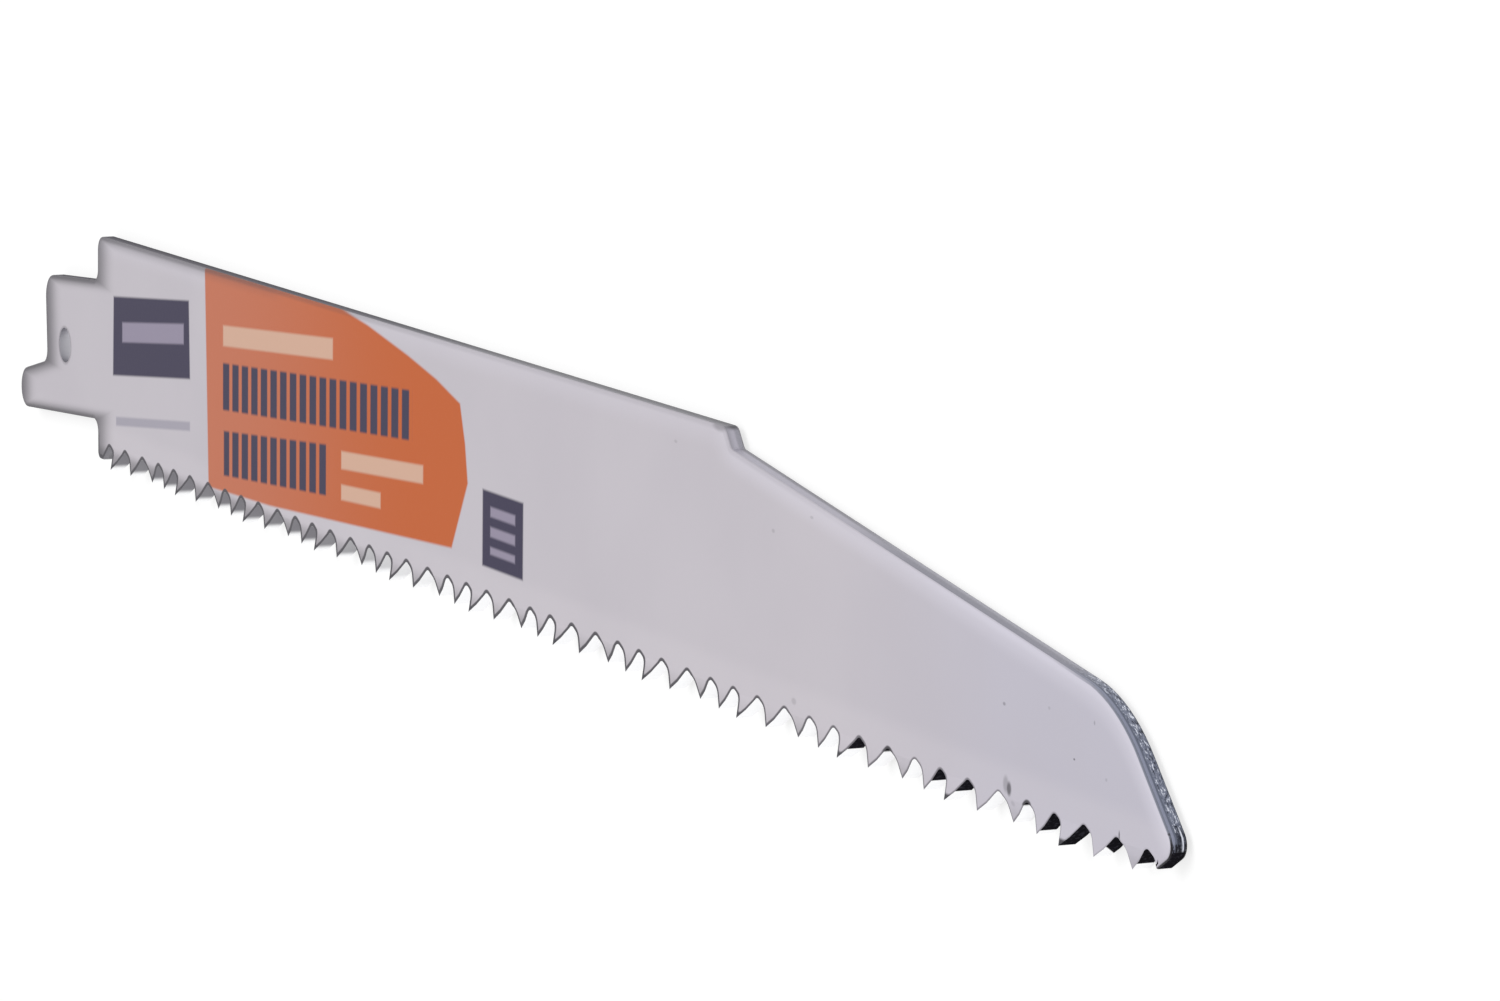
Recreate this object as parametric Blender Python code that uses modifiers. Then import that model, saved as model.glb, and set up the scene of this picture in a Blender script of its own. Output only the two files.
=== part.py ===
"""Reciprocating saw blade for demolition work: one stamped strip of steel with set teeth.

The blade lies flat with its printed side up. X runs from the tang to the nose, and Y across the
blade, with the spine at +Y and the teeth at -Y. The outline is drawn from the lower end of the
shoulder, with X = 0 on the shoulder and Y = 0 at the roots of the gullets. The finished blade is
then placed with the middle of its base at the world origin. Lengths are in metres.
"""

import math

import bmesh
import bpy
from mathutils import Matrix, Vector

MM = 0.001

# Strip and body
BLADE_THICKNESS = 1.27 * MM
BODY_LENGTH = 205.6 * MM            # shoulder to the nose's foremost point
BODY_WIDTH = 18.9 * MM              # gullet roots to the spine
SPINE_CORNER_RADIUS = 1.3 * MM
SHOULDER_HEEL_RADIUS = 0.8 * MM

# Tang for the half-inch clamp, canted up from the line of the body
TANG_WIDTH = 12.7 * MM
TANG_DROP = 10.5 * MM               # spine down to the tang's centre line, at the shoulder
TANG_CANT = math.radians(3.8)
TANG_SHORT_LENGTH = 14.2 * MM
TANG_LENGTH = 21.9 * MM             # to the end of the lower lobe
TANG_CORNER_RADIUS = 2.1 * MM
TANG_ROOT_RADIUS = 1.15 * MM
LOBE_WIDTH = 4.7 * MM               # where it leaves the end of the tang
LOBE_TAPER = math.radians(9)
LOBE_RADIUS = 1.9 * MM
LOBE_ROOT_RADIUS = 1.3 * MM
HOLE_DIAMETER = 3.2 * MM
HOLE_FROM_SHOULDER = 9.0 * MM

# Step, slope and nose
SLOPE_LENGTH = 69.2 * MM            # step to the nose's foremost point
STEP_DEPTH = 1.5 * MM
STEP_FACE_ANGLE = math.radians(52)
STEP_CORNER_RADIUS = 0.9 * MM
STEP_ROOT_RADIUS = 0.6 * MM
SLOPE_ANGLE = math.radians(8.1)
NOSE_ANGLE = math.radians(45)
NOSE_RADIUS = 13.5 * MM
NOSE_TIP_RADIUS = 1.1 * MM
NOSE_TIP_RISE = 0.55 * MM           # centre of the tip's rounding above the gullet roots
NOSE_HEEL_ANGLE = math.radians(31)

# Teeth, which cut on the pull stroke, so that each rake face looks towards the tang
TEETH_PER_INCH = 6
TOOTH_DEPTH = 2.0 * MM
PITCH_CYCLE = (0.99, 1.09, 0.99, 0.93)      # widths of four teeth, in mean pitches
SET_CYCLE = (-1, 0, 1, 0)                   # away from the print, straight, towards it, straight
TOOTH_SET = 0.42 * MM
RAKE_LEAN = math.radians(12.5)
GULLET_SETBACK = 1.5 * MM                   # gullet's root behind the tip that it clears
GULLET_RADIUS = 0.6 * MM
RAKE_ROOT_DEPTH = 0.55 * MM                 # end of the straight rake face, below the root
RAKE_ROOT_RADIUS = 0.9 * MM
HEEL_SHARE = 0.45                           # place of the relief's break between tip and root
HEEL_DROP = 0.12 * MM
BEND_DEPTH = 0.3 * MM                       # bend line of the set teeth, below the roots
FIRST_GULLET_SETBACK = 3.2 * MM             # behind the nose's foremost point
LEAD_DEPTH = 1.5 * MM                       # plain edge between the shoulder and the first gullet
LEAD_RELIEF_LENGTH = 1.8 * MM
LEAD_MINIMUM = 3.0 * MM

# Stamped and painted edges
EDGE_ROUND = 0.15 * MM
CHORD_TOLERANCE = 0.008 * MM

# Print: corners along the body and up from the gullet roots in millimetres, anticlockwise and
# starting with the left side
ORANGE_FIELD = ((27.1, 19.5), (29.9, 0.9), (33.6, -0.7), (84.8, 2.3), (88.0, 8.2), (86.2, 14.2),
                (63.1, 19.2), (62.0, 19.5))
NAVY_PATCH = ((4.2, 15.1), (4.2, 6.7), (24.0, 6.7), (24.0, 15.1))
NAVY_BLOCK = ((91.0, 8.2), (91.0, 2.1), (99.3, 2.1), (99.3, 8.2))

PAINT, STEEL, ORANGE, NAVY = range(4)


def clear_scene():
    for obj in list(bpy.data.objects):
        bpy.data.objects.remove(obj, do_unlink=True)


def make_collection(name):
    collection = bpy.data.collections.new(name)
    bpy.context.scene.collection.children.link(collection)
    return collection


def make_material(name, colour, roughness, metallic):
    material = bpy.data.materials.new(name)
    material.use_nodes = True
    shader = material.node_tree.nodes["Principled BSDF"]
    shader.inputs["Base Color"].default_value = (*colour, 1.0)
    shader.inputs["Roughness"].default_value = roughness
    shader.inputs["Metallic"].default_value = metallic
    material.diffuse_color = (*colour, 1.0)
    return material


def heading(angle):
    """Unit vector at an angle from +X."""
    return Vector((math.cos(angle), math.sin(angle)))


def meet(point_a, angle_a, point_b, angle_b):
    """Point where two lines cross, each given by a point and its angle from +X."""
    along_a = heading(angle_a)
    along_b = heading(angle_b)
    gap = point_b - point_a
    return point_a + along_a * (gap.cross(along_b) / along_a.cross(along_b))


def rounded(corners):
    """Outline through (point, radius) corners, with each corner as an arc of short chords."""
    outline = []
    for index, (corner, radius) in enumerate(corners):
        to_last = corners[index - 1][0] - corner
        to_next = corners[(index + 1) % len(corners)][0] - corner
        turn = math.pi - to_last.angle(to_next)
        if radius == 0 or turn < math.radians(1):
            outline.append(corner)
            continue
        shortest = min(to_last.length, to_next.length)
        cut = min(radius * math.tan(turn / 2), 0.49 * shortest)
        radius = cut / math.tan(turn / 2)
        start = corner + to_last.normalized() * cut
        inward = (to_last.normalized() + to_next.normalized()).normalized()
        centre = corner + inward * (radius / math.cos(turn / 2))
        side = math.copysign(1, to_last.cross(to_next)) * -1
        step = 2 * math.acos(1 - CHORD_TOLERANCE / radius)
        count = max(2, math.ceil(turn / step))
        for number in range(count + 1):
            arm = start - centre
            arm.rotate(Matrix.Rotation(side * turn * number / count, 2))
            outline.append(centre + arm)
    return outline


def gullet_places():
    """X of each gullet's root, from the nose back to the shoulder."""
    mean_pitch = 25.4 * MM / TEETH_PER_INCH
    places = [BODY_LENGTH - FIRST_GULLET_SETBACK]
    while True:
        width = PITCH_CYCLE[(len(places) - 1) % len(PITCH_CYCLE)] * mean_pitch
        if places[-1] - width < LEAD_MINIMUM:
            return places
        places.append(places[-1] - width)


def tip_ahead_of(gullet):
    """Tip of the tooth whose rake face rises from a gullet at this X."""
    return Vector((gullet + GULLET_SETBACK, -TOOTH_DEPTH))


def nose_corners():
    """The last tooth, the nose's rounded tip and the front up to the slope."""
    centre = Vector((BODY_LENGTH - NOSE_TIP_RADIUS, NOSE_TIP_RISE))
    heel_point = centre + heading(NOSE_HEEL_ANGLE - math.pi / 2) * NOSE_TIP_RADIUS
    front_point = centre + heading(math.pi / 2 - NOSE_ANGLE) * NOSE_TIP_RADIUS
    full_tip = tip_ahead_of(BODY_LENGTH - FIRST_GULLET_SETBACK)
    last_tip = meet(full_tip, math.pi / 2 + RAKE_LEAN, heel_point, NOSE_HEEL_ANGLE)
    nose_tip = meet(heel_point, NOSE_HEEL_ANGLE, front_point, -NOSE_ANGLE)
    brow = meet(step_root(), -SLOPE_ANGLE, front_point, -NOSE_ANGLE)
    return [(last_tip, 0), (nose_tip, NOSE_TIP_RADIUS), (brow, NOSE_RADIUS)]


def step_corner():
    return Vector((BODY_LENGTH - SLOPE_LENGTH, BODY_WIDTH))


def step_root():
    return step_corner() + Vector((STEP_DEPTH / math.tan(STEP_FACE_ANGLE), -STEP_DEPTH))


def spine_corners():
    return [(step_root(), STEP_ROOT_RADIUS),
            (step_corner(), STEP_CORNER_RADIUS),
            (Vector((0, BODY_WIDTH)), SPINE_CORNER_RADIUS)]


def tang_point(along, up):
    """Point on the canted tang: along it from the shoulder, and up from its centre line."""
    root = Vector((0, BODY_WIDTH - TANG_DROP))
    return root - heading(TANG_CANT) * along + heading(TANG_CANT + math.pi / 2) * up


def tang_corners():
    top = TANG_WIDTH / 2
    shoulder = Vector((0, 0))
    upper_root = meet(tang_point(0, top), TANG_CANT, shoulder, math.pi / 2)
    lower_root = meet(tang_point(0, -top), TANG_CANT, shoulder, math.pi / 2)
    lobe_root = tang_point(TANG_SHORT_LENGTH, LOBE_WIDTH - top)
    lobe_end = tang_point(TANG_LENGTH, -top)
    lobe_corner = meet(lobe_root, TANG_CANT + LOBE_TAPER, lobe_end, TANG_CANT + math.pi / 2)
    return [(upper_root, TANG_ROOT_RADIUS),
            (tang_point(TANG_SHORT_LENGTH, top), TANG_CORNER_RADIUS),
            (lobe_root, LOBE_ROOT_RADIUS),
            (lobe_corner, LOBE_RADIUS),
            (lobe_end, LOBE_RADIUS),
            (lower_root, TANG_ROOT_RADIUS)]


def tooth_corners():
    """Teeth from the shoulder to the nose, without the last tip, which the nose cuts short."""
    gullets = gullet_places()
    lead_end = Vector((gullets[-1] - LEAD_RELIEF_LENGTH, -LEAD_DEPTH))
    corners = [(Vector((0, -LEAD_DEPTH)), SHOULDER_HEEL_RADIUS), (lead_end, 0)]
    for index in range(len(gullets) - 1, -1, -1):
        root = Vector((gullets[index], 0))
        next_tip = tip_ahead_of(gullets[index])
        rise = TOOTH_DEPTH - RAKE_ROOT_DEPTH
        rake_root = next_tip + Vector((-rise * math.tan(RAKE_LEAN), rise))
        corners += [(root, GULLET_RADIUS), (rake_root, RAKE_ROOT_RADIUS)]
        if index > 0:
            heel = next_tip.lerp(Vector((gullets[index - 1], 0)), HEEL_SHARE)
            corners += [(next_tip, 0), (heel - Vector((0, HEEL_DROP)), 0)]
    return corners


def hole_outline():
    """The locating hole, on the tang's centre line."""
    centre = tang_point(HOLE_FROM_SHOULDER, 0)
    radius = HOLE_DIAMETER / 2
    sides = 4 * math.ceil(math.pi / 4 / math.acos(1 - CHORD_TOLERANCE / radius))
    return [centre + heading(math.tau * side / sides) * radius for side in range(sides)]


def blade_blank(collection):
    """The flat blank: a filled curve through the outline and the hole, as thick as the strip."""
    curve = bpy.data.curves.new("blank", "CURVE")
    curve.dimensions = "2D"
    curve.fill_mode = "BOTH"
    curve.extrude = BLADE_THICKNESS / 2
    edge = rounded(tooth_corners() + nose_corners() + spine_corners() + tang_corners())
    for outline in (edge, hole_outline()):
        spline = curve.splines.new("POLY")
        spline.points.add(len(outline) - 1)
        for point, place in zip(spline.points, outline):
            point.co = (place.x, place.y, 0, 1)
        spline.use_cyclic_u = True
    blank = bpy.data.objects.new("blank", curve)
    collection.objects.link(blank)
    bpy.context.view_layer.update()
    evaluated = blank.evaluated_get(bpy.context.evaluated_depsgraph_get())
    mesh = bpy.data.meshes.new_from_object(evaluated)
    blade = bpy.data.objects.new("blade", mesh)
    blade.matrix_world = blank.matrix_world
    collection.objects.link(blade)
    bpy.data.objects.remove(blank, do_unlink=True)
    return blade


def weld(bm):
    """Join the curve's loose caps to its walls."""
    bmesh.ops.remove_doubles(bm, verts=bm.verts, dist=0.0005 * MM)
    bmesh.ops.recalc_face_normals(bm, faces=bm.faces)


def set_teeth(bm):
    """Bend every second tooth to one side or the other, along a line just below the gullets."""
    geometry = bm.verts[:] + bm.edges[:] + bm.faces[:]
    bmesh.ops.bisect_plane(bm, geom=geometry, dist=0.0005 * MM,
                           plane_co=(0, -BEND_DEPTH, 0), plane_no=(0, 1, 0))
    gullets = gullet_places()
    for vert in bm.verts:
        below = -BEND_DEPTH - vert.co.y
        if below <= 0 or not gullets[-1] < vert.co.x < gullets[0]:
            continue
        tooth = sum(1 for gullet in gullets if gullet > vert.co.x) - 1
        side = SET_CYCLE[tooth % len(SET_CYCLE)]
        vert.co.z += side * TOOTH_SET * below / (TOOTH_DEPTH - BEND_DEPTH)


def colour_faces(bm):
    """Paint on the two flat sides, and bare steel on the cut walls."""
    for face in bm.faces:
        face.material_index = PAINT if abs(face.normal.z) > 0.7 else STEEL


def print_field(bm, corners, material):
    """Give the printed side another colour inside a convex field, whose corners run anticlockwise."""
    faces = [face for face in bm.faces if face.normal.z > 0.7]
    points = [Vector((x, y, 0)) * MM for x, y in corners]
    for start, end in zip(points, points[1:] + points[:1]):
        outward = Vector((end.y - start.y, start.x - end.x, 0)).normalized()
        geometry = set(faces)
        for face in faces:
            geometry.update(face.edges)
            geometry.update(face.verts)
        cut = bmesh.ops.bisect_plane(bm, geom=list(geometry), dist=0.0005 * MM,
                                     plane_co=start, plane_no=outward)
        faces = [item for item in cut["geom"] if isinstance(item, bmesh.types.BMFace)
                 and (item.calc_center_median() - start).dot(outward) < 0]
    for face in faces:
        face.material_index = material


def seam_places():
    """X of the cuts across the flats, one through each thing that a plain face can't go round."""
    hole = tang_point(HOLE_FROM_SHOULDER, 0).x
    return [hole] + [field[0][0] * MM for field in (NAVY_PATCH, NAVY_BLOCK)]


def cut_seams(bm):
    for place in seam_places():
        geometry = bm.verts[:] + bm.edges[:] + bm.faces[:]
        bmesh.ops.bisect_plane(bm, geom=geometry, dist=0.0005 * MM,
                               plane_co=(place, 0, 0), plane_no=(1, 0, 0))


def merge_flats(bm):
    """Make one face of each colour on a flat, apart from the seams."""
    bmesh.ops.remove_doubles(bm, verts=bm.verts, dist=0.0005 * MM)
    seams = set()
    for edge in bm.edges:
        start, end = (vert.co for vert in edge.verts)
        for place in seam_places():
            if max(abs(start.x - place), abs(end.x - place)) < 0.001 * MM and start.z == end.z:
                seams.add(edge)
    edges = [edge for edge in bm.edges if edge not in seams]
    bmesh.ops.dissolve_limit(bm, angle_limit=math.radians(0.2), verts=bm.verts, edges=edges,
                             delimit={"MATERIAL"})


def weight_edges(bm):
    """Weights for the Bevel: the stamped outline is rounded, and the ground teeth stay sharp."""
    weight = bm.edges.layers.float.new("bevel_weight_edge")
    hole_centre = tang_point(HOLE_FROM_SHOULDER, 0)
    teeth_start = tooth_corners()[1][0].x
    teeth_end = nose_corners()[0][0].x
    for edge in bm.edges:
        if not edge.is_manifold or edge.calc_face_angle() < math.radians(60):
            continue
        middle = (edge.verts[0].co + edge.verts[1].co) / 2
        upright = abs(edge.verts[0].co.z - edge.verts[1].co.z) > 0.1 * BLADE_THICKNESS
        tooth = middle.y < 0 and teeth_start < middle.x < teeth_end
        hole = (middle.xy - hole_centre).length < HOLE_DIAMETER
        if not (upright or tooth or hole):
            edge[weight] = 1.0


def round_edges(blade):
    bevel = blade.modifiers.new("Edge rounds", "BEVEL")
    bevel.limit_method = "WEIGHT"
    bevel.width = EDGE_ROUND
    bevel.segments = 2


def make_blade(collection):
    blade = blade_blank(collection)
    for material in (make_material("blade_paint", (0.55, 0.52, 0.57), 0.42, 0.0),
                     make_material("bare_steel", (0.16, 0.18, 0.23), 0.45, 0.9),
                     make_material("orange_print", (0.57, 0.16, 0.06), 0.45, 0.0),
                     make_material("navy_print", (0.075, 0.06, 0.125), 0.45, 0.0)):
        blade.data.materials.append(material)
    bm = bmesh.new()
    bm.from_mesh(blade.data)
    weld(bm)
    cut_seams(bm)
    set_teeth(bm)
    colour_faces(bm)
    print_field(bm, ORANGE_FIELD, ORANGE)
    print_field(bm, NAVY_PATCH, NAVY)
    print_field(bm, NAVY_BLOCK, NAVY)
    merge_flats(bm)
    weight_edges(bm)
    bm.to_mesh(blade.data)
    bm.free()
    blade.data.shade_smooth()
    blade.data.set_sharp_from_angle(angle=math.radians(28))
    round_edges(blade)
    rest_on_base(blade)
    return blade


def rest_on_base(blade):
    """Put the middle of the bounding box's base at the world origin."""
    places = [vert.co for vert in blade.data.vertices]
    low = Vector([min(place[axis] for place in places) for axis in range(3)])
    high = Vector([max(place[axis] for place in places) for axis in range(3)])
    blade.location = (-(low.x + high.x) / 2, -(low.y + high.y) / 2, -low.z)


def main():
    clear_scene()
    make_blade(make_collection("Reciprocating saw blade"))


main()
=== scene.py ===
"""Looks of a reciprocating saw blade that lies flat on a pale floor, printed side up."""

import math

import bmesh
import bpy
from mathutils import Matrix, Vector


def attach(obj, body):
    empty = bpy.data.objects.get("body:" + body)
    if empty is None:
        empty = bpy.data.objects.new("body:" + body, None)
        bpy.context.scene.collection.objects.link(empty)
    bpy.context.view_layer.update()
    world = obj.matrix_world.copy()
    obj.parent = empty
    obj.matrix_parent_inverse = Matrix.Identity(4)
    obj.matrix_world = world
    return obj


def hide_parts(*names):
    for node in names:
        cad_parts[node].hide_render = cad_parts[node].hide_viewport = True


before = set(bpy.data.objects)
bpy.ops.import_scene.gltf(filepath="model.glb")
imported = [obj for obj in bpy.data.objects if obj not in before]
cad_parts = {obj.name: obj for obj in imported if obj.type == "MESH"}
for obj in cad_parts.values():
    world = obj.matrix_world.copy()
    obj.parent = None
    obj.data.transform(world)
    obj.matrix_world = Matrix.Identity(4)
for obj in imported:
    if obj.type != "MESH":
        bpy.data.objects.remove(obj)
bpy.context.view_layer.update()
bpy.context.scene.view_settings.view_transform = "Standard"


# ---- Viewpoint ----------------------------------------------------------------------------------
# The photograph was taken from beyond the nose, with a long lens at arm's length, looking along
# the blade to the tang. The spine is up in the picture, so the camera lies on its side.

PICTURE_WIDTH = 1500
FOCAL_PIXELS = 6780
SENSOR_WIDTH = 36.0                     # mm

lens = bpy.data.cameras.new("camera")
lens.sensor_width = SENSOR_WIDTH
lens.lens = FOCAL_PIXELS / PICTURE_WIDTH * SENSOR_WIDTH
lens.clip_start = 0.01
camera = bpy.data.objects.new("camera", lens)
camera.location = (0.48860, 0.07702, 0.20630)
camera.rotation_euler = [math.radians(turn) for turn in (-6.89689, 65.12589, 1.62840)]
bpy.context.scene.collection.objects.link(camera)
bpy.context.scene.camera = camera


# ---- Blade: the strip ---------------------------------------------------------------------------
# One piece of spring steel strip, 1.27 mm thick, stamped to its outline and ground to its teeth,
# which are bent to either side in turn. It is the CAD blade with its triangles merged, and a
# narrow ring of faces inside the outline of each flat carries the worn edge of the paint and its
# painted shade.

MM = 0.001
MERGE_REACH = 0.0005 * MM
CUT_REACH = 0.001 * MM
SAME_PLANE = math.radians(1)
EDGE_RING = 0.35 * MM
FLAT_NORMAL = 0.95                      # set teeth lean 14 degrees, which is 0.97
PAINTED_NORMAL = 0.3                    # the spray also reaches the rounding of the edges
SHARP_CORNER = math.radians(50)
SHARP_BEND = math.radians(5)
FLAT_HEIGHTS = (1.69 * MM, 0.42 * MM)   # of the printed and the plain side
SHOULDER_X = -92.02 * MM
GULLET_Y = -8.45 * MM
BEND_Y = GULLET_Y - 0.3 * MM
HOLE_PLACE = Vector((-101.00 * MM, -0.65 * MM))
HOLE_REACH = 2.0 * MM
FIRST_GULLET = 202.4                    # mm from the shoulder, the one next to the nose
LEAST_GULLET = 3.0
MEAN_PITCH = 25.4 / 6
PITCH_CYCLE = (0.99, 1.09, 0.99, 0.93)
BLACK_GULLETS = (0, 1, 2, 3, 6, 7, 10)  # counted from the nose
GROUND_Y = GULLET_Y + 0.05 * MM         # walls below it are ground, not stamped
NOSE_HEEL_Y = GULLET_Y + 0.1 * MM       # the underside of the nose lies below it
PAINT, STAMPED, SCALE, GROUND = range(4)

strip = bmesh.new()
strip.from_mesh(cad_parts["blade"].data)
bmesh.ops.remove_doubles(strip, verts=strip.verts, dist=MERGE_REACH)
bmesh.ops.dissolve_limit(strip, angle_limit=SAME_PLANE, verts=strip.verts, edges=strip.edges)
flats = [face for face in strip.faces if abs(face.normal.z) > FLAT_NORMAL]
bmesh.ops.inset_region(strip, faces=flats, thickness=EDGE_RING, use_even_offset=True,
                       use_boundary=True)
rim = strip.verts.layers.float.new("rim")
for vert in strip.verts:
    outline = any(abs(face.normal.z) <= FLAT_NORMAL for face in vert.link_faces)
    vert[rim] = 1.0 if outline else 0.0
    if not outline and vert.co.y > BEND_Y:
        vert.co.z = min(FLAT_HEIGHTS, key=lambda height: abs(height - vert.co.z))
strip.normal_update()

# The inset has shifted the lines on which the teeth are bent, so the flats are cut there again
flats = [face for face in strip.faces if abs(face.normal.z) > FLAT_NORMAL]
parts = {part for face in flats for part in (face, *face.verts, *face.edges)}
cut = bmesh.ops.bisect_plane(strip, geom=list(parts), dist=CUT_REACH, plane_co=(0, BEND_Y, 0),
                             plane_no=(0, 1, 0))["geom_cut"]
for part in cut:
    if isinstance(part, bmesh.types.BMVert):
        part.co.z = min(FLAT_HEIGHTS, key=lambda height: abs(height - part.co.z))
strip.normal_update()

gullets = [FIRST_GULLET]
while gullets[-1] > LEAST_GULLET:
    gullets.append(gullets[-1] - PITCH_CYCLE[(len(gullets) - 1) % 4] * MEAN_PITCH)
for face in strip.faces:
    face.smooth = True
    middle = face.calc_center_median()
    along = (middle.x - SHOULDER_X) / MM
    if abs(face.normal.z) > PAINTED_NORMAL:
        face.material_index = PAINT
    elif (middle.xy - HOLE_PLACE).length < HOLE_REACH:
        face.material_index = GROUND
    elif middle.y < GROUND_Y or (along > FIRST_GULLET and middle.y < NOSE_HEEL_Y):
        ahead = sum(1 for gullet in gullets if gullet > along)
        face.material_index = SCALE if max(ahead - 1, 0) in BLACK_GULLETS else GROUND
    else:
        face.material_index = STAMPED

# Walls meet the flats of the teeth sharply, and the teeth are bent on a sharp line
for edge in strip.edges:
    corner = edge.calc_face_angle(0)
    between_flats = all(abs(face.normal.z) > FLAT_NORMAL for face in edge.link_faces)
    edge.smooth = corner < SHARP_CORNER and not (between_flats and corner > SHARP_BEND)

blade_mesh = bpy.data.meshes.new("saw_blade")
strip.to_mesh(blade_mesh)
strip.free()
blade = bpy.data.objects.new("saw_blade", blade_mesh)
bpy.context.scene.collection.objects.link(blade)
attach(blade, "root")
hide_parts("blade")


# ---- Blade: lacquer and print -------------------------------------------------------------------
# Both flats are sprayed with a satin silver-grey lacquer over the steel, and one is printed in
# orange and navy ink. The print's words and sign are left as plain bars and blocks of its colours.


def linear(hex_colour):
    """Linear RGBA of an sRGB hex colour."""
    parts = [int(hex_colour[place:place + 2], 16) / 255 for place in (1, 3, 5)]
    return [part / 12.92 if part <= 0.04045 else ((part + 0.055) / 1.055) ** 2.4
            for part in parts] + [1.0]


def add_node(tree, kind, links=None, **settings):
    """Add a node. Settings are its own properties, and links are numbers or outputs by socket."""
    node = tree.nodes.new(kind)
    for name, value in settings.items():
        setattr(node, name, value)
    for socket, value in (links or {}).items():
        if isinstance(value, bpy.types.NodeSocket):
            tree.links.new(value, node.inputs[socket])
        else:
            node.inputs[socket].default_value = value
    return node


def steel_finish(name):
    """A new material in the blade's next slot, and millimetres on the blade's drawing: from the
    shoulder, up from the gullets, and up from the printed side."""
    material = bpy.data.materials.new(name)
    material.use_nodes = True
    blade_mesh.materials.append(material)
    tree = material.node_tree
    place = add_node(tree, "ShaderNodeTexCoord").outputs["Object"]
    drawing = add_node(tree, "ShaderNodeMapping",
                       {"Vector": place, "Scale": (1 / MM, 1 / MM, 1 / MM),
                        "Location": (-SHOULDER_X / MM, -GULLET_Y / MM, -FLAT_HEIGHTS[0] / MM)
                        }).outputs["Vector"]
    return tree, tree.nodes["Principled BSDF"], drawing


def overlay(tree, colour, layers):
    """Lay colours over the one below, each as dense as the product of its ramps. A ramp is a value
    with its start and end, from which it climbs smoothly from 0 to 1, or to a given top."""
    for above, *ramps in layers:
        density = None
        for value, start, end, *top in ramps:
            ramp = add_node(tree, "ShaderNodeMapRange",
                            {"Value": value, "From Min": start, "From Max": end,
                             "To Max": top[0] if top else 1.0},
                            interpolation_type="SMOOTHSTEP").outputs["Result"]
            if density is not None:
                ramp = add_node(tree, "ShaderNodeMath", {0: density, 1: ramp},
                                operation="MULTIPLY").outputs["Value"]
            density = ramp
        colour = add_node(tree, "ShaderNodeMix", {0: density, 6: colour, 7: above},
                          data_type="RGBA").outputs[2]
    return colour


def field_depth(tree, drawing, corners, is_closed=True):
    """How far a point lies inside a convex field, whose corners run anticlockwise. The side from
    the last corner to the first is left open if asked."""
    sides = list(zip(corners, corners[1:]))
    if is_closed:
        sides.append((corners[-1], corners[0]))
    depth = None
    for start, end in sides:
        inward = Vector((start[1] - end[1], end[0] - start[0], 0)).normalized()
        reach = add_node(tree, "ShaderNodeVectorMath", {0: drawing, 1: inward},
                         operation="DOT_PRODUCT").outputs["Value"]
        side_depth = add_node(tree, "ShaderNodeMath",
                              {0: reach, 1: inward.dot(Vector((*start, 0)))},
                              operation="SUBTRACT").outputs["Value"]
        if depth is not None:
            side_depth = add_node(tree, "ShaderNodeMath", {0: depth, 1: side_depth},
                                  operation="MINIMUM").outputs["Value"]
        depth = side_depth
    return depth


def torn_steel(tree, drawing):
    """The colour of the torn half of a stamped wall, with pits and scratches about 0.4 mm long,
    and the noise that makes them."""
    drawn_out = add_node(tree, "ShaderNodeMapping",
                         {"Vector": drawing, "Scale": (2.5, 2.5, 8.0)}).outputs["Vector"]
    tears = add_node(tree, "ShaderNodeTexNoise",
                     {"Vector": drawn_out, "Scale": 1.0, "Detail": 3.0,
                      "Roughness": 0.7}).outputs["Fac"]
    colour = overlay(tree, TORN_STEEL, [(TORN_PIT, (tears, 0.46, 0.36)),
                                        (TORN_SCRATCH, (tears, 0.55, 0.64))])
    return colour, tears


LACQUER_TANG = linear("#BEB9C0")
LACQUER_NOSE = linear("#B8B5C1")
LACQUER_CLOUD = linear("#B4AFB7")
# colour of the painted highlight on the rolled edges
LACQUER_HIGHLIGHT = linear("#D8D5E1")
LACQUER_WARM = linear("#D9D3D8")
# grey of the dulled tooth tips, also used as painted shade on the teeth bent away
LACQUER_TOOTH_AND_SHADE = linear("#7E7B7F")
ORANGE_INK = linear("#B95618")
THIN_ORANGE_INK = linear("#BA694A")
NAVY_INK = linear("#27203E")
PALE_ON_ORANGE = linear("#CBA48E")
PALE_ON_NAVY = linear("#8C8498")
FAINT_INK = linear("#9E9AA6")
# dark steel and tooth grey of worn paint, also used as painted shade of the rounded edges
WORN_STEEL_AND_SHADE = linear("#3C3A40")
WORN_TOOTH_AND_SHADE = linear("#615E65")
BARE_EDGE = linear("#7A7E8C")
RUBBED_TIP = linear("#3A393F")
TORN_STEEL = linear("#787D8E")
TORN_PIT = linear("#23252D")
TORN_SCRATCH = linear("#DDE1EC")
SCALE_BLACK = linear("#201F24")

ORANGE_FIELD = ((28.0, 19.6), (29.0, -0.2), (44.0, 0.2), (84.7, 2.45), (88.0, 8.1), (87.4, 11.2),
                (86.3, 14.3), (81.3, 15.65), (75.2, 16.85), (66.4, 18.3), (59.5, 19.1),
                (55.0, 19.5))
PALE_BARS = (((32.6, 14.4), (32.6, 12.6), (58.6, 14.5), (58.6, 16.3)),
             ((60.6, 7.1), (60.6, 5.6), (78.6, 6.8), (78.6, 8.3)),
             ((60.6, 4.3), (60.6, 3.0), (69.4, 3.5), (69.4, 4.8)))
NAVY_ROWS = (((32.4, 11.1), (32.4, 7.0), (76.2, 10.0), (76.2, 14.1)),
             ((32.8, 5.2), (32.8, 1.3), (57.2, 2.9), (57.2, 7.2)))
UPRIGHT_PITCH = 2.3                     # mm, of the upright bars in the navy rows
NAVY_PATCH = ((4.4, 13.8), (4.2, 6.6), (24.3, 8.7), (24.0, 15.6))
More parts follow.
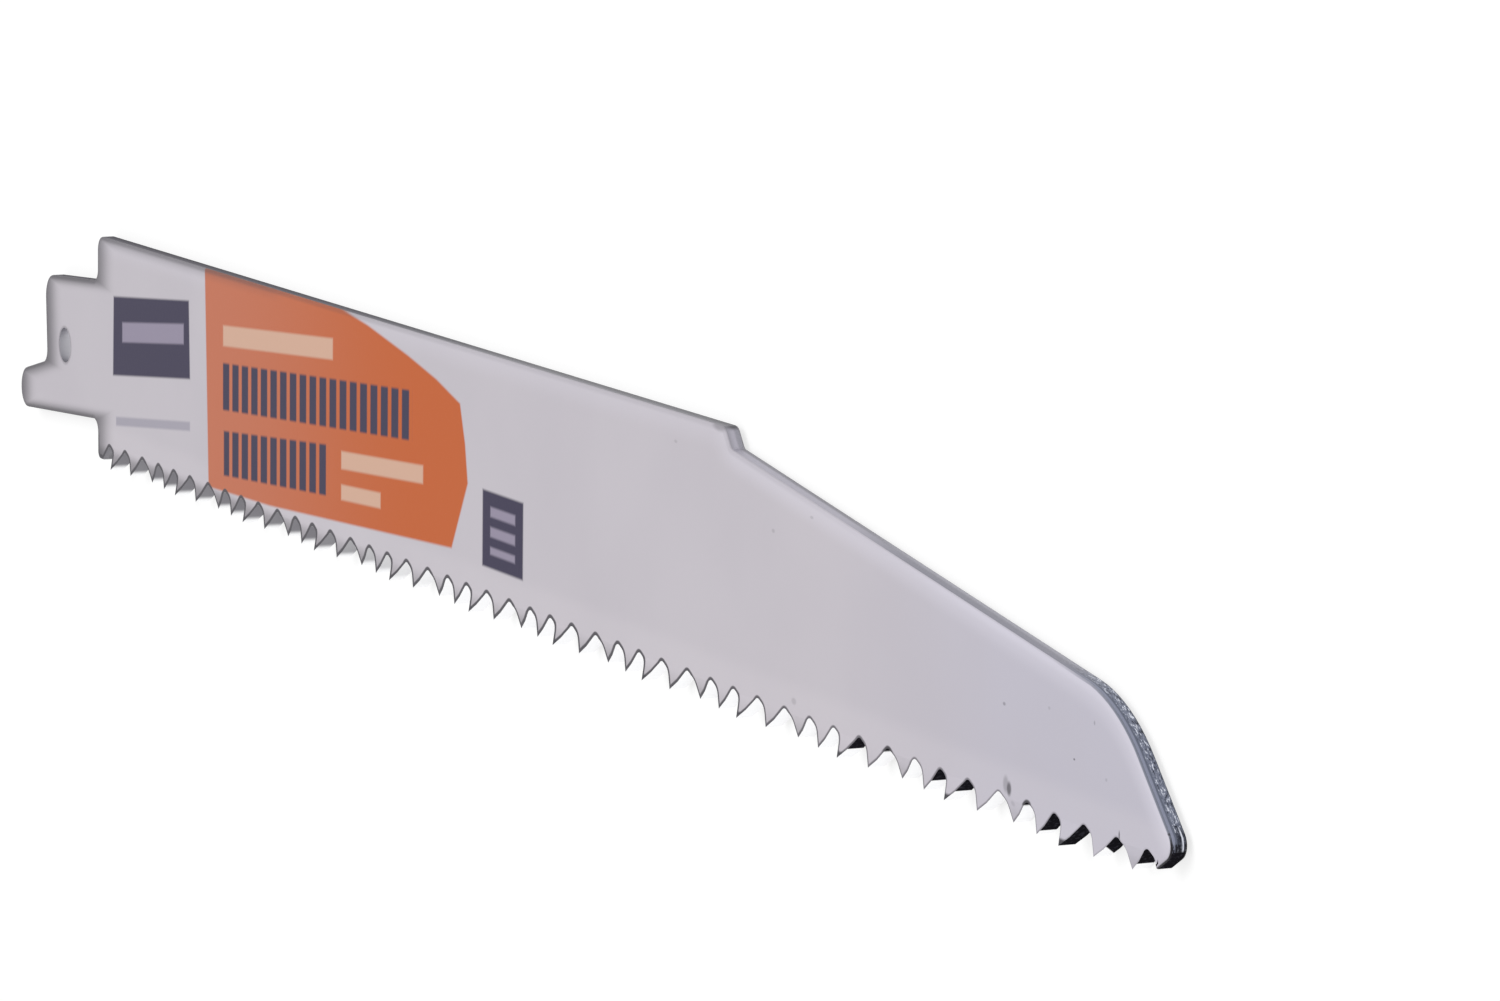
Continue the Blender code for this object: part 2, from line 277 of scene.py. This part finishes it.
PATCH_BAR = ((6.7, 11.7), (6.7, 9.9), (22.7, 11.6), (22.7, 13.4))
FAINT_BAR = ((5.0, 2.9), (5.0, 2.1), (24.3, 4.1), (24.3, 4.9))
NAVY_BLOCK = ((91.1, 8.1), (91.1, 2.0), (99.3, 2.0), (99.3, 8.1))
BLOCK_BARS = (((92.7, 6.9), (92.7, 6.1), (97.7, 6.1), (97.7, 6.9)),
              ((92.7, 5.3), (92.7, 4.5), (97.7, 4.5), (97.7, 5.3)),
              ((92.7, 3.7), (92.7, 3.1), (97.7, 3.1), (97.7, 3.7)))
INK_EDGE = 0.16                         # mm, half the width over which an inked edge fades

tree, lacquer, drawing = steel_finish("satin_lacquer")
axes = add_node(tree, "ShaderNodeSeparateXYZ", {"Vector": drawing}).outputs
x, y, z = axes["X"], axes["Y"], axes["Z"]

# Warmer grey at the tang and bluer at the nose, with faint clouds a few centimetres long. The
# press rolls the edges over a little, and a painted highlight stands for the light they catch:
# widely along the back of the blade, and brightly at the very edge of the nose. Work has dulled
# the tips of the teeth, and the teeth bent away from the printed side get a painted shade.
clouds = add_node(tree, "ShaderNodeTexNoise",
                  {"Vector": drawing, "Scale": 0.05, "Detail": 3.0}).outputs["Fac"]
SLOPE_LINE = ((205.6, 7.71), (137.572, 17.4))
NOSE_LINE = ((205.28, 1.33), (195.28, 11.33))
NOSE_BLEND = 4.1                        # mm, as the round between slope and nose asks for
slope_depth = field_depth(tree, drawing, SLOPE_LINE, is_closed=False)
nose_depth = field_depth(tree, drawing, NOSE_LINE, is_closed=False)
front_depth = add_node(tree, "ShaderNodeMath", {0: slope_depth, 1: nose_depth, 2: NOSE_BLEND},
                       operation="SMOOTH_MIN").outputs["Value"]
colour = overlay(tree, LACQUER_TANG, [
    (LACQUER_NOSE, (x, 150, 190)),
    (LACQUER_CLOUD, (clouds, 0.35, 0.7, 0.35)),
    # painted highlights of the rolled edges: along the back, along the slope and at the nose's edge
    (LACQUER_HIGHLIGHT, (y, 16.7, 18.5, 0.18)),
    (LACQUER_HIGHLIGHT, (front_depth, 2.0, 0.4, 0.32), (x, 134, 139)),
    (LACQUER_HIGHLIGHT, (front_depth, 0.8, 0.2), (x, 158, 182, 0.25)),
    (LACQUER_WARM, (y, 2.6, 1.0, 0.14)),
    (LACQUER_TOOTH_AND_SHADE, (y, -0.2, -1.5), (x, 195, 80, 0.45)),
    (WORN_STEEL_AND_SHADE, (y, 0.1, -0.9, 0.42), (x, 95, 25)),
    # painted shade on the teeth bent away from the printed side, which lean away from the light
    (LACQUER_TOOTH_AND_SHADE, (y, -0.2, -1.5), (z, -0.04, -0.25, 0.2))])

# Print, only on the upper side
uprights = add_node(tree, "ShaderNodeMath", {0: x, 1: UPRIGHT_PITCH / 2},
                    operation="PINGPONG").outputs["Value"]
orange = overlay(tree, THIN_ORANGE_INK, [(ORANGE_INK, (x, 30, 78))])
inks = [(ORANGE_FIELD, orange), (NAVY_PATCH, NAVY_INK), (NAVY_BLOCK, NAVY_INK),
        (PATCH_BAR, PALE_ON_NAVY), (FAINT_BAR, FAINT_INK)]
inks += [(row, NAVY_INK) for row in NAVY_ROWS]
inks += [(bar, PALE_ON_ORANGE) for bar in PALE_BARS]
inks += [(bar, PALE_ON_NAVY) for bar in BLOCK_BARS]
for corners, ink in inks:
    ramps = [(field_depth(tree, drawing, corners), -INK_EDGE, INK_EDGE), (z, -0.65, -0.55)]
    if corners in NAVY_ROWS:
        ramps.append((uprights, 0.25, 0.5))
    colour = overlay(tree, colour, [(ink, *ramps)])

# The lacquer is darker in a band round the tang and along the spine next to it, wider at the ends
# than at the sides. The outline is met there by three convex fields: the body, the tang and its
# end lobe.
TANG_FIELDS = (((210.0, 18.9), (0.0, 18.9), (0.0, -3.0)),
               ((3.0, 14.96), (-14.59, 13.80), (-13.75, 1.12), (3.0, 2.24)),
               ((-12.0, 6.28), (-21.66, 4.08), (-21.43, 0.61), (3.0, 2.24)))
END_SQUEEZE = 0.24                      # sideways reach of the darkening over its reach lengthways

squeezed = add_node(tree, "ShaderNodeMapping",
                    {"Vector": drawing, "Scale": (END_SQUEEZE, 1, 1)}).outputs["Vector"]
edge_depth = -1.0
for corners in TANG_FIELDS:
    field = [(corner_x * END_SQUEEZE, corner_y) for corner_x, corner_y in corners]
    depth = field_depth(tree, squeezed, field, is_closed=False)
    edge_depth = add_node(tree, "ShaderNodeMath", {0: edge_depth, 1: depth},
                          operation="MAXIMUM").outputs["Value"]

# The lacquer is darker along the outline, partly as paint worn thin and partly as painted shade of
# the rounded edges: all along the teeth, over the back of the blade mostly at the tang end, where
# dark steel shows, and at the nose on the whole rounding of its edges.
# Teeth that are bent towards the printed side stand proud of it, and their tips are rubbed bare.
ring = add_node(tree, "ShaderNodeAttribute", attribute_name="rim").outputs["Fac"]
edge_dark_from, edge_dark_to = [add_node(tree, "ShaderNodeMapRange",
                               {"Value": x, "From Min": 110, "From Max": 195, "To Min": at_tang,
                                "To Max": at_nose}).outputs["Result"]
                      for at_tang, at_nose in ((0.0, 0.55), (0.42, 1.0))]
torn, _ = torn_steel(tree, drawing)
colour = overlay(tree, colour, [
    # darker edge along the teeth: worn paint and painted shade of the rounded edges
    (WORN_TOOTH_AND_SHADE, (ring, edge_dark_from, edge_dark_to), (y, 1.0, 0.4), (x, 208, 195, 0.5)),
    (WORN_TOOTH_AND_SHADE, (ring, edge_dark_from, edge_dark_to), (y, 1.0, 0.4), (x, 195, 182, 0.6)),
    (WORN_STEEL_AND_SHADE, (ring, edge_dark_from, edge_dark_to), (y, 1.0, 0.4), (x, 185, 130, 0.88)),
    (WORN_STEEL_AND_SHADE, (ring, 0.2, 0.7), (y, -0.55, -0.3), (y, 1, 0), (x, 184.6, 184.9),
     (x, 186.2, 185.9)),
    (WORN_STEEL_AND_SHADE, (ring, 0.2, 0.7), (y, -0.55, -0.3), (y, 1, 0), (x, 163.0, 163.4),
     (x, 165.2, 164.8)),
    # darker edge along the back: worn paint and painted shade of the rounded edge, most at the tang
    # end and lightly up to the slope
    (WORN_STEEL_AND_SHADE, (ring, 0.0, 1.0), (y, 0.4, 1.0), (x, 100, 20, 0.3)),
    (WORN_STEEL_AND_SHADE, (ring, 0.0, 1.0), (y, 0.4, 1.0), (x, 170, 140, 0.14)),
    # darker band round the tang
    (WORN_STEEL_AND_SHADE, (edge_depth, 1.2, -0.3, 0.62), (x, 85, 0)),
    (WORN_STEEL_AND_SHADE, (edge_depth, 0.9, -0.1, 0.6), (x, 8, -4)),
    (BARE_EDGE, (z, -0.01, -0.04), (z, -0.7, -0.6), (x, 187, 199), (y, 0.6, 1.0)),
    (torn, (z, -0.6, -0.7), (z, -1.26, -1.23), (x, 187, 199), (y, 0.6, 1.0)),
    (SCALE_BLACK, (z, -0.01, -0.05), (y, 1.5, 0.7), (x, 202.6, 203.0)),
    (RUBBED_TIP, (z, 0.27, 0.33))])

# Marks of use on the front half: place, half size across and up, and how dark, all in the drawing
MARKS = ((181.93, 5.99, 0.22, 0.13, 0.45), (192.14, 3.98, 0.13, 0.08, 0.75),
         (194.88, 6.87, 0.11, 0.16, 0.35), (196.67, 3.40, 0.16, 0.12, 0.22),
         (188.46, 6.79, 0.18, 0.12, 0.20), (182.85, 0.35, 0.34, 0.50, 0.80),
         (182.35, 0.60, 0.42, 0.60, 0.35), (183.33, -0.58, 0.30, 0.20, 0.18),
         (198.60, 0.05, 0.10, 0.36, 0.80), (205.26, 1.37, 0.16, 0.10, 0.85),
         (128.02, 16.72, 0.30, 0.13, 0.20), (151.56, 14.34, 0.28, 0.12, 0.22),
         (145.17, 12.47, 0.28, 0.16, 0.22), (148.98, 0.68, 0.42, 0.26, 0.22),
         (135.70, 18.95, 1.25, 0.50, 0.38))
for mark_x, mark_y, half_x, half_y, darkness in MARKS:
    place = add_node(tree, "ShaderNodeMapping",
                     {"Vector": drawing, "Location": (-mark_x / half_x, -mark_y / half_y, 0),
                      "Scale": (1 / half_x, 1 / half_y, 0)}).outputs["Vector"]
    spread = add_node(tree, "ShaderNodeVectorMath", {0: place}, operation="LENGTH").outputs["Value"]
    colour = overlay(tree, colour,
                     [(WORN_STEEL_AND_SHADE, (spread, 1.3, 0.5, darkness), (z, -0.65, -0.55))])

# Orange peel of the spray coat, with dimples about half a millimetre across
peel = add_node(tree, "ShaderNodeTexNoise",
                {"Vector": drawing, "Scale": 2.0, "Detail": 2.0}).outputs["Fac"]
dimples = add_node(tree, "ShaderNodeBump",
                   {"Height": peel, "Strength": 0.05, "Distance": 0.1 * MM}).outputs["Normal"]
tree.links.new(colour, lacquer.inputs["Base Color"])
tree.links.new(dimples, lacquer.inputs["Normal"])
lacquer.inputs["Roughness"].default_value = 0.5
lacquer.inputs["IOR"].default_value = 1.45
lacquer.inputs["Specular IOR Level"].default_value = 0.25


# ---- Blade: stamped edge ------------------------------------------------------------------------
# The outline is blanked in a press: the punch burnishes the half of the wall next to the printed
# side, and the other half tears, so it stays rough, with bright scratches and dark pits along it.

BURNISHED = linear("#888C9E")
CRACK_LINE = linear("#646978")
SLOPE_PALE = linear("#AEABB6")
SLOPE_GREY = linear("#8B8A95")
SLOPE_BACK = linear("#A3A2AC")
BACK_LIP = linear("#88868E")
SPINE_EDGE = linear("#85838A")
SPINE_DARK_BACK = linear("#5C5A60")
TANG_EDGE = linear("#807E85")
TANG_DARK_BACK = linear("#78767C")
STEEL_SHINE, OXIDE_SHINE = linear("#F3F3F3"), linear("#000000")
RAGGED_REACH = 2.5                      # mm, over which the tears make the scale's end ragged

tree, steel, drawing = steel_finish("sheared_steel")
axes = add_node(tree, "ShaderNodeSeparateXYZ", {"Vector": drawing}).outputs
x, y, z = axes["X"], axes["Y"], axes["Z"]
torn, tears = torn_steel(tree, drawing)
ragged_y = add_node(tree, "ShaderNodeMath", {0: tears, 1: RAGGED_REACH, 2: y},
                    operation="MULTIPLY_ADD").outputs["Value"]
nose_wall = overlay(tree, torn, [
    (TORN_PIT, (ragged_y, 3.4, 2.4, 0.75)),
    (CRACK_LINE, (z, -0.56, -0.46)),
    (BURNISHED, (z, -0.40, -0.32)),
    (SCALE_BLACK, (ragged_y, 2.1, 1.5)),
    (TORN_SCRATCH, (z, -1.00, -0.94), (z, -0.84, -0.90), (y, 1.8, 1.4), (y, 0.1, 0.4))])
wall = overlay(tree, SLOPE_PALE, [
    (SLOPE_GREY, (x, 154, 168)),
    (BACK_LIP, (z, -0.65, -0.95)),
    (SLOPE_BACK, (z, -0.65, -0.95), (x, 154, 168)),
    (SLOPE_BACK, (z, -0.65, -0.95), (x, 138.0, 137.6, 0.7)),
    (nose_wall, (x, 188, 196)),
    (SPINE_EDGE, (z, -0.6, -0.1, 0.6), (x, 137.8, 137.5)),
    (SPINE_EDGE, (x, 136.7, 136.3)),
    # the spine and tang walls darken towards the plain side
    (SPINE_DARK_BACK, (x, 136.7, 136.3), (z, -0.2, -0.8)),
    (TANG_EDGE, (x, 85, 35)),
    (TANG_DARK_BACK, (x, 85, 35), (z, -0.2, -0.8))])
shine = overlay(tree, STEEL_SHINE, [(OXIDE_SHINE, (x, 110, 45))])
ridges = add_node(tree, "ShaderNodeBump",
                  {"Height": tears, "Strength": 0.6, "Distance": 0.08 * MM}).outputs["Normal"]
tree.links.new(wall, steel.inputs["Base Color"])
tree.links.new(ridges, steel.inputs["Normal"])
tree.links.new(shine, steel.inputs["Metallic"])
steel.inputs["Roughness"].default_value = 0.42
steel.inputs["Specular IOR Level"].default_value = 0.0


# ---- Blade: backs of the teeth ------------------------------------------------------------------
# Some gullets near the nose keep the black scale of hardening, as its underside does, except for
# their tips. The wheel has left bright steel, which mirrors the pale floor, on all other teeth, and
# towards the tang grime has settled in the gullets.

BLACK, WHITE = linear("#000000"), linear("#FFFFFF")
SCALE_GREY = linear("#43424B")
BRIGHT_STEEL = linear("#FCFCFD")
WHEEL_MARK = linear("#F5F5F7")
GRIMY_STEEL = linear("#76747A")
HOLE_WALL = linear("#BDBCC2")
SCALE_SLANT = 0.59                      # the scale reaches further down on the plain side
BLACK_ROOTS = ((184.8, 185.1, 186.8, 186.5), (163.5, 163.8, 165.9, 165.6))

for name in ("hardening_scale", "ground_steel"):
    tree, steel, drawing = steel_finish(name)
    axes = add_node(tree, "ShaderNodeSeparateXYZ", {"Vector": drawing}).outputs
    x, y, z = axes["X"], axes["Y"], axes["Z"]
    slanted_y = add_node(tree, "ShaderNodeMath", {0: z, 1: -SCALE_SLANT, 2: y},
                         operation="MULTIPLY_ADD").outputs["Value"]
    across = add_node(tree, "ShaderNodeMapping",
                      {"Vector": drawing, "Scale": (12.0, 12.0, 0.8)}).outputs["Vector"]
    wheel_marks = add_node(tree, "ShaderNodeTexNoise",
                           {"Vector": across, "Scale": 1.0, "Detail": 3.0}).outputs["Fac"]
    grain = add_node(tree, "ShaderNodeTexNoise",
                     {"Vector": drawing, "Scale": 4.0, "Detail": 3.0}).outputs["Fac"]
    bright = overlay(tree, BRIGHT_STEEL, [(WHEEL_MARK, (wheel_marks, 0.0, 1.0)),
                                          (GRIMY_STEEL, (x, 84, 52), (y, -1.9, -1.3)),
                                          (HOLE_WALL, (y, 2.0, 3.0))])
    scale = overlay(tree, SCALE_BLACK, [(SCALE_GREY, (grain, 0.5, 0.75))])
    if name == "hardening_scale":
        shine = overlay(tree, BLACK, [
            (WHITE, (y, -1.42, -1.50), (x, 198.6, 198.8)),
            (WHITE, (slanted_y, -0.95, -1.05), (x, 194.4, 194.6), (x, 198.6, 198.4)),
            (WHITE, (y, -1.62, -1.70), (x, 190.2, 190.0)),
            (WHITE, (y, -1.12, -1.20), (x, 180.2, 180.0))])
    else:
        shine = overlay(tree, WHITE, [
            (BLACK, (y, -0.6, -0.25), (y, 2.0, 1.0), (x, first, second), (x, fourth, third))
            for first, second, fourth, third in BLACK_ROOTS])
    tree.links.new(overlay(tree, scale, [(bright, (shine, 0.0, 1.0))]), steel.inputs["Base Color"])
    tree.links.new(shine, steel.inputs["Metallic"])
    steel.inputs["Roughness"].default_value = 0.35
    steel.inputs["Specular IOR Level"].default_value = 0.0


# ---- Floor and light ----------------------------------------------------------------------------
# A plain white sheet under the blade, and the soft even light of a studio.

FLOOR_HALF = 6.0
floor_bm = bmesh.new()
bmesh.ops.create_grid(floor_bm, x_segments=1, y_segments=1, size=FLOOR_HALF)
floor_mesh = bpy.data.meshes.new("floor")
floor_bm.to_mesh(floor_mesh)
floor_bm.free()
floor = bpy.data.objects.new("floor", floor_mesh)
bpy.context.scene.collection.objects.link(floor)

SHEET_GREY = (0.30, 0.30, 0.30, 1.0)
SHEET_GLOW = 0.74                       # with the light on the grey it comes to white
WORLD_FILL = 0.60


def seen_directly(tree):
    """1 for rays from the camera and for those mirrored or let through to it, 0 for others."""
    rays = add_node(tree, "ShaderNodeLightPath").outputs
    mirrored = add_node(tree, "ShaderNodeMath",
                        {0: rays["Is Glossy Ray"], 1: rays["Is Transmission Ray"]},
                        operation="ADD").outputs["Value"]
    return add_node(tree, "ShaderNodeMath", {0: rays["Is Camera Ray"], 1: mirrored},
                    operation="ADD", use_clamp=True).outputs["Value"]


paper = bpy.data.materials.new("white_sheet")
paper.use_nodes = True
floor_mesh.materials.append(paper)
tree = paper.node_tree
tree.nodes.remove(tree.nodes["Principled BSDF"])
matt = add_node(tree, "ShaderNodeBsdfDiffuse", {"Color": SHEET_GREY}).outputs["BSDF"]
strength = add_node(tree, "ShaderNodeMath", {0: seen_directly(tree), 1: SHEET_GLOW},
                    operation="MULTIPLY").outputs["Value"]
glow = add_node(tree, "ShaderNodeEmission", {"Color": WHITE, "Strength": strength})
lit = add_node(tree, "ShaderNodeAddShader", {0: matt, 1: glow.outputs["Emission"]})
tree.links.new(lit.outputs["Shader"], tree.nodes["Material Output"].inputs["Surface"])

world = bpy.data.worlds.new("studio")
world.use_nodes = True
bpy.context.scene.world = world
tree = world.node_tree
background = tree.nodes["Background"]
background.inputs["Color"].default_value = WHITE
strength = add_node(tree, "ShaderNodeMapRange",
                    {"Value": seen_directly(tree), "To Min": WORLD_FILL, "To Max": 1.0})
tree.links.new(strength.outputs["Result"], background.inputs["Strength"])

LAMPS = (("key", (0.10, 0.45, 0.70), 0.6, 3.7),
         ("fill", (0.55, -0.35, 0.50), 0.6, 0.8))
for name, lamp_place, side, power in LAMPS:
    light = bpy.data.lights.new(name, "AREA")
    light.size = side
    light.energy = power
    lamp = bpy.data.objects.new(name, light)
    lamp.location = lamp_place
    lamp.rotation_euler = (-Vector(lamp_place)).to_track_quat("-Z", "Y").to_euler()
    bpy.context.scene.collection.objects.link(lamp)


# ---- Scene update -------------------------------------------------------------------------------

bpy.context.view_layer.update()
